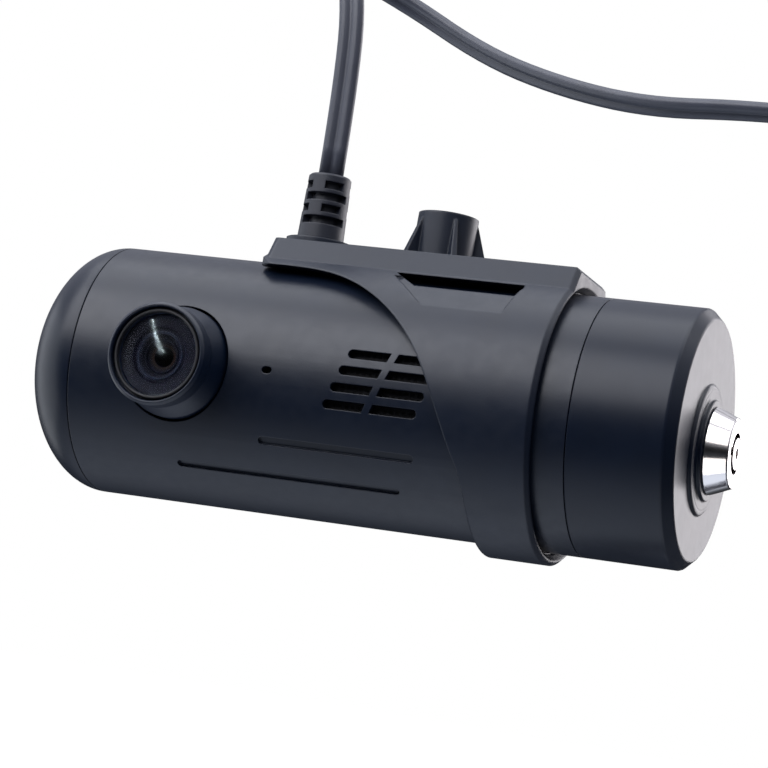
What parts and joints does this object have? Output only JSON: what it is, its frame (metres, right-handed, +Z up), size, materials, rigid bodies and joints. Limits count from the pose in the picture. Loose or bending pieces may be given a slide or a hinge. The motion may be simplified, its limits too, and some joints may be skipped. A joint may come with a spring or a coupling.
{
  "type": "dash camera",
  "caption": "Tube-shaped vehicle camera in a one-piece windscreen bracket, with a lens on its side, a domed end, a key-locked end cover and a flat twin power cable.",
  "frame": {"origin": "centre of the top face of the bracket's boss, where the windscreen arm screws in", "axes": "+X along the camera tube from the domed end to the lock; the lens looks along -Y; +Z up, out of the threaded boss"},
  "size_m": [0.1823, 0.1367, 0.2268],
  "materials": {
    "bracket_plastic": "moulded, dark blue-grey",
    "tube_plastic": "moulded, dark blue-grey, satin",
    "cover_plastic": "moulded, dark blue-grey, satin",
    "lens_plastic": "dark, semi-gloss",
    "inner_plastic": "black moulded",
    "lens_glass": "coated glass, violet tint",
    "lens_inner": "black rings inside the lens",
    "chrome": "polished",
    "brass": "turned brass",
    "steel": "plated steel",
    "aluminium": "extruded, plain",
    "rubber": "soft, dark",
    "cable_sheath": "flat twin sheath, dark blue-grey",
    "tie": "nylon",
    "connector_plastic": "moulded nylon",
    "circuit_board": "solder mask, green",
    "chip": "epoxy package",
    "sensor": "silicon behind cover glass",
    "ribbon": "polyimide film",
    "metal_can": "tin-plated shield",
    "capacitor_sleeve": "heat-shrunk sleeve",
    "ceramic": "fired ceramic",
    "mesh": "fine woven dust mesh",
    "memory_card_plastic": "black card",
    "sim_card_plastic": "white card",
    "button_plastic": "light grey button"
  },
  "bodies": {
    "bracket": {"bracket": "bracket_plastic", "mount_insert": "brass", "friction_rings": "rubber", "tilt_lock_screw": "steel", "strain_relief": "rubber", "cable": "cable_sheath", "cable_coil": "cable_sheath", "cable_tail": "cable_sheath", "cable_tie": "tie", "cable_connector": "connector_plastic"},
    "camera": {"housing_tube": "tube_plastic", "end_cap": "cover_plastic", "lens_housing": "lens_plastic", "bezel_ring": "lens_plastic", "retaining_ring": "inner_plastic", "front_lens": "lens_glass", "lens_core": "lens_inner", "rear_lens": "lens_glass", "lens_holder": "inner_plastic", "image_sensor": "sensor", "sensor_board": "circuit_board", "sensor_ribbon": "ribbon", "main_board": "circuit_board", "processor": "chip", "memory_chips": "chip", "heat_sink": "aluminium", "modem": "metal_can", "backup_capacitors": "capacitor_sleeve", "board_rail": "inner_plastic", "speaker": "inner_plastic", "microphone": "rubber", "vent_mesh": "mesh", "antenna_board": "circuit_board", "satellite_antenna": "ceramic", "end_panel": "inner_plastic", "cover_seal": "rubber", "panel_screws": "steel", "io_board": "circuit_board", "card_socket": "metal_can", "sim_socket": "metal_can", "usb_port": "steel", "reset_switch": "chip", "cam_catch": "steel"},
    "cover": {"end_cover": "cover_plastic", "lock_body": "chrome", "lock_nut": "brass"},
    "lock": {"lock_plug": "chrome", "lock_cam": "steel", "cam_screw": "steel"},
    "memory_card": {"memory_card": "memory_card_plastic"},
    "sim_card": {"sim_card": "sim_card_plastic"},
    "reset_button": {"reset_button": "button_plastic"}
  },
  "joints": [
    {"name": "body_tilt", "type": "hinge", "parent": "bracket", "child": "camera", "pos_m": [0, 0, -0.0389], "axis": [1, 0, 0], "range_deg": [-45, 45]},
    {"name": "cover_slide", "type": "slide", "parent": "camera", "child": "cover", "axis": [1, 0, 0], "range_m": [0, 0.03]},
    {"name": "lock_turn", "type": "hinge", "parent": "cover", "child": "lock", "pos_m": [0.06, 0, -0.0407], "axis": [1, 0, 0], "range_deg": [0, 90]},
    {"name": "card_slide", "type": "slide", "parent": "camera", "child": "memory_card", "axis": [1, 0, 0], "range_m": [0, 0.01]},
    {"name": "sim_slide", "type": "slide", "parent": "camera", "child": "sim_card", "axis": [1, 0, 0], "range_m": [0, 0.008]},
    {"name": "reset_press", "type": "slide", "parent": "camera", "child": "reset_button", "axis": [-1, 0, 0], "range_m": [0, 0.0006], "stiffness_N_per_m": 1200}
  ]
}
